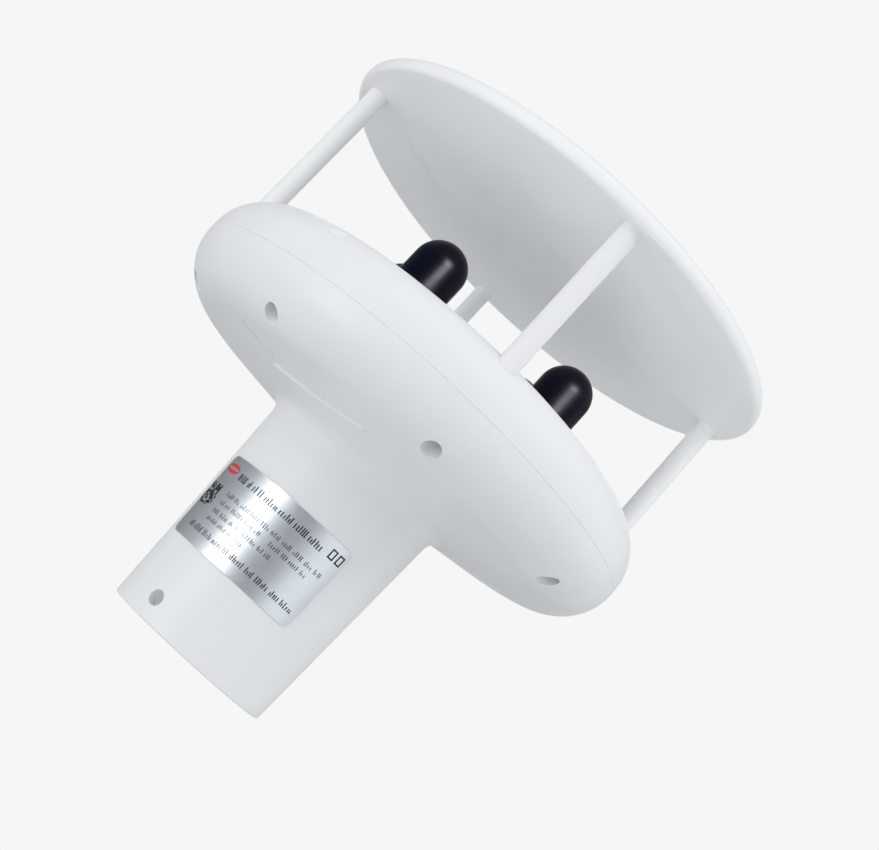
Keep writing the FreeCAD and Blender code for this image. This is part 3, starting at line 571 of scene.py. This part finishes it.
# sizes that repeat the CAD's where a box can't tell them
LOW_ROUND = 2.0 * MM
TOP_ROUND = 2.6 * MM
POCKET_ROUND = 0.3 * MM
ROOF_INSET = 4.2 * MM
PLATE_FLOOR = 3.1 * MM
ROOF_RISE = 5.5 * MM
ROOF_WALL = 1.8 * MM
ROOF_SKIRT = 3.2 * MM
ROOF_STEPS = 40
BRIM_ROUND = 0.35 * MM
COUNTERSUNK_RADIUS = 2.9 * MM
COUNTERSUNK_HEIGHT = 1.7 * MM
SCREW_TO_HEAD = 1.5 / 2.9
CAP_FLANGE_WIDTH = 1.3 * MM
CAP_FLANGE = 1.2 * MM
CAP_WALL = 1.6 * MM
CAP_STEM_STEP = 0.2 * MM
CAP_RIM_ROUND = 0.35 * MM
CAP_FOOT_ROUND = 0.3 * MM
CAP_SEGMENTS = 96
BORE_SEGMENTS = 32


def post_places():
    """The x and y of each post's axis."""
    for corner in ("front_right", "back_right", "back_left", "front_left"):
        low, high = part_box(f"support_post_{corner}")
        yield (low[0] + high[0]) / 2, (low[1] + high[1]) / 2


def add_reflector():
    """The flat plate over the posts: a rounded rim round a pocket that holds the roof."""
    low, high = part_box("reflector_plate")
    edge, bottom, top = high[0], low[2], high[2]
    pocket = edge - ROOF_INSET
    plate = revolved("reflector", softened([
        (0, bottom),
        (edge, bottom, LOW_ROUND),
        (edge, top, TOP_ROUND),
        (pocket, top, POCKET_ROUND),
        (pocket, bottom + PLATE_FLOOR),
        (0, bottom + PLATE_FLOOR)]), MATERIALS["white_housing"])
    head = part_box("reflector_screws")[1][0] - max(x for x, _ in post_places())
    bore = head * SCREW_TO_HEAD
    tools = []
    for index, (x, y) in enumerate(post_places()):
        tools.append(revolved(f"countersink_{index}", [
            (0, bottom - MM),
            (bore, bottom - MM),
            (bore, bottom + PLATE_FLOOR - COUNTERSUNK_HEIGHT),
            (COUNTERSUNK_RADIUS, bottom + PLATE_FLOOR),
            (COUNTERSUNK_RADIUS, bottom + PLATE_FLOOR + MM),
            (0, bottom + PLATE_FLOOR + MM)],
            MATERIALS["white_housing"], BORE_SEGMENTS, x, y))
    cut_away(plate, tools)
    fit_piece(plate, "white_housing", "reflector_plate")
    return plate


def dome_point(radius, centre, curve):
    """The point at this radius on a sphere of radius curve round a centre on the axis."""
    return radius, centre + math.sqrt(curve * curve - radius * radius)


def add_roof():
    """A shallow domed cover in the reflector's pocket, hollow under its skin."""
    low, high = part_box("roof_cover")
    edge, bottom, top = high[0], low[2], high[2]
    brim = top - ROOF_RISE
    curve = (edge * edge + ROOF_RISE * ROOF_RISE) / (2 * ROOF_RISE)
    centre = top - curve
    inside = edge - ROOF_SKIRT
    ceiling = curve - ROOF_WALL
    outer = [dome_point(edge * (1 - step / ROOF_STEPS), centre, curve)
             for step in range(ROOF_STEPS + 1)]
    inner = [dome_point(inside * step / ROOF_STEPS, centre, ceiling)
             for step in range(ROOF_STEPS + 1)]
    outer[0] = (edge - BRIM_ROUND * 0.3, brim + BRIM_ROUND * 0.02)
    outline = [(inside, bottom), (edge, bottom), (edge, brim - BRIM_ROUND), *outer, *inner]
    roof = revolved("roof", outline, MATERIALS["white_housing"])
    fit_piece(roof, "white_housing", "roof_cover")


def add_cap(side):
    """A black transducer: a domed barrel on a thin flange, open at the foot of its stem."""
    node = f"transducer_cap_{side}"
    low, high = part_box(node)
    x, y = (low[0] + high[0]) / 2, (low[1] + high[1]) / 2
    flange = (high[0] - low[0]) / 2
    radius = flange - CAP_FLANGE_WIDTH
    centre = high[2] - radius
    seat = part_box(f"transducer_gasket_{side}")[1][2]
    stem = radius - CAP_STEM_STEP
    bore = radius - CAP_WALL
    foot = softened([
        (bore, low[2]),
        (stem, low[2]),
        (stem, seat),
        (flange, seat),
        (flange, seat + CAP_FLANGE, CAP_RIM_ROUND),
        (radius, seat + CAP_FLANGE, CAP_FOOT_ROUND),
        (radius, centre)])
    dome = arc(0, centre, radius, 0, 90)[1:]
    hollow = arc(0, centre, bore, 90, 0)
    outline = foot + dome[:-1] + [(0, centre + radius), (0, centre + bore)] + hollow[1:]
    cap = revolved(f"cap_{side}", outline, MATERIALS["black_cap"], CAP_SEGMENTS, x, y)
    fit_piece(cap, "black_cap", node)
    return cap


# ---- label print -------------------------------------------------------------------------------

LABEL_LEFT = -33.4
LABEL_RIGHT = 68.6
LABEL_WIDTH = 57.0 * MM
NECK_DRAFT = math.radians(2.47)
NECK_RADIUS = 30.0 * MM
FOIL = 0.3 * MM
INK = 0.02 * MM


def on_label(across, down, rise):
    """The point this far from the label's left and top edges, in metres, lifted off its face."""
    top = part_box("rating_label")[1][2]
    height = top - down
    turn = math.radians(LABEL_LEFT + (LABEL_RIGHT - LABEL_LEFT) * across / LABEL_WIDTH)
    radius = NECK_RADIUS + math.tan(NECK_DRAFT) * height + FOIL / math.cos(NECK_DRAFT) + rise
    return radius * math.sin(turn), -radius * math.cos(turn), height


def ink_block(builder, across, down, width, height):
    """A closed block of ink bent round the label. Sizes in millimetres."""
    count = max(1, math.ceil(width / 0.9))
    columns = []
    for step in range(count + 1):
        reach = (across + width * step / count) * MM
        columns.append([builder.verts.new(on_label(reach, drop * MM, rise))
                        for drop, rise in ((down, -INK), (down, INK),
                                           (down + height, INK), (down + height, -INK))])
    for first, second in zip(columns, columns[1:]):
        for side in range(4):
            after = (side + 1) % 4
            builder.faces.new((first[side], second[side], second[after], first[after]))
    builder.faces.new(columns[0])
    builder.faces.new(reversed(columns[-1]))


TICK_PITCH = 0.62
GROUP_GAP = 0.75
BAR_WIDTH = 0.2


def tick_row(builder, draw, left, right, down, height, weight):
    """A row of upright ticks in groups, as a stand-in for a line of small print."""
    reach = left
    while reach < right:
        group = min(draw.choice((3, 5, 6, 8)) * TICK_PITCH, right - reach)
        stop = reach + group
        while reach < stop - 0.1:
            short = draw.choice((0.0, 0.0, 0.25, 0.4))
            ink_block(builder, reach, down + height * short, weight, height * (1 - short))
            if draw.random() < 0.45:
                bar = down + height * draw.choice((0.42, 0.88))
                ink_block(builder, reach + weight, bar, BAR_WIDTH, height * 0.12)
            reach += draw.choice((0.5, TICK_PITCH, 0.74)) * (1 + weight)
        reach += GROUP_GAP


# all in millimetres from the label's left and top edges
PRINT_ROWS = (
    # left, right, down, height, weight
    (11.2, 48.0, 3.9, 2.4, 0.42),
    (12.3, 54.2, 10.6, 1.7, 0.26),
    (12.3, 32.0, 13.7, 1.6, 0.26),
    (35.0, 50.0, 13.7, 1.6, 0.26),
    (12.3, 38.2, 16.9, 1.6, 0.26),
    (12.3, 28.6, 19.9, 1.4, 0.26),
    (7.2, 55.4, 23.8, 2.1, 0.36),
)
GRID_LEFT, GRID_TOP = 0.6, 10.4
GRID_CELLS, GRID_CELL = 10, 0.8
FRAME_LEFTS, FRAME_TOP = (50.3, 53.4), 2.4
FRAME_WIDTH, FRAME_HEIGHT, FRAME_STROKE = 2.2, 3.4, 0.5
BADGE_LEFT, BADGE_MIDDLE, BADGE_WIDTH = 0.8, 4.2, 8.6
BADGE_SLICES = 24
BADGE_HALF = 1.2


def add_grid(builder, draw):
    for row in range(GRID_CELLS):
        for column in range(GRID_CELLS):
            if draw.random() < 0.55:
                ink_block(builder, GRID_LEFT + column * GRID_CELL, GRID_TOP + row * GRID_CELL,
                          GRID_CELL, GRID_CELL)


def add_open_rectangle(builder, left):
    side_height = FRAME_HEIGHT - 2 * FRAME_STROKE
    for down in (FRAME_TOP, FRAME_TOP + FRAME_HEIGHT - FRAME_STROKE):
        ink_block(builder, left, down, FRAME_WIDTH, FRAME_STROKE)
    for across in (left, left + FRAME_WIDTH - FRAME_STROKE):
        ink_block(builder, across, FRAME_TOP + FRAME_STROKE, FRAME_STROKE, side_height)


def add_label_print():
    """Ticks and blocks where the label has its print. None of it is lettering."""
    draw = random.Random(7)
    builder = bmesh.new()
    for row in PRINT_ROWS:
        tick_row(builder, draw, *row)
    add_grid(builder, draw)
    for left in FRAME_LEFTS:
        add_open_rectangle(builder, left)
    ink = printed_ink("black_ink_look", (0.012, 0.013, 0.018))
    fit_piece(new_object("label_print", builder, ink), "label_foil")


def add_label_badge():
    """A red oval split by a bar across its middle."""
    builder = bmesh.new()
    for step in range(BADGE_SLICES):
        swell = math.sqrt(1 - ((step + 0.5) / BADGE_SLICES * 2 - 1) ** 2)
        reach = BADGE_LEFT + BADGE_WIDTH * step / BADGE_SLICES
        for down in (BADGE_MIDDLE - swell * 1.7, BADGE_MIDDLE + swell * 0.5):
            ink_block(builder, reach, down, BADGE_WIDTH / BADGE_SLICES, swell * BADGE_HALF)
    ink = printed_ink("red_ink_look", (0.50, 0.03, 0.035))
    fit_piece(new_object("label_badge", builder, ink), "label_foil")


add_camera()
add_studio()
dress_nodes()
reflector = add_reflector()
add_roof()
caps = [add_cap(side) for side in ("front", "right", "back", "left")]
add_label_print()
add_label_badge()
add_spots(reflector, caps)
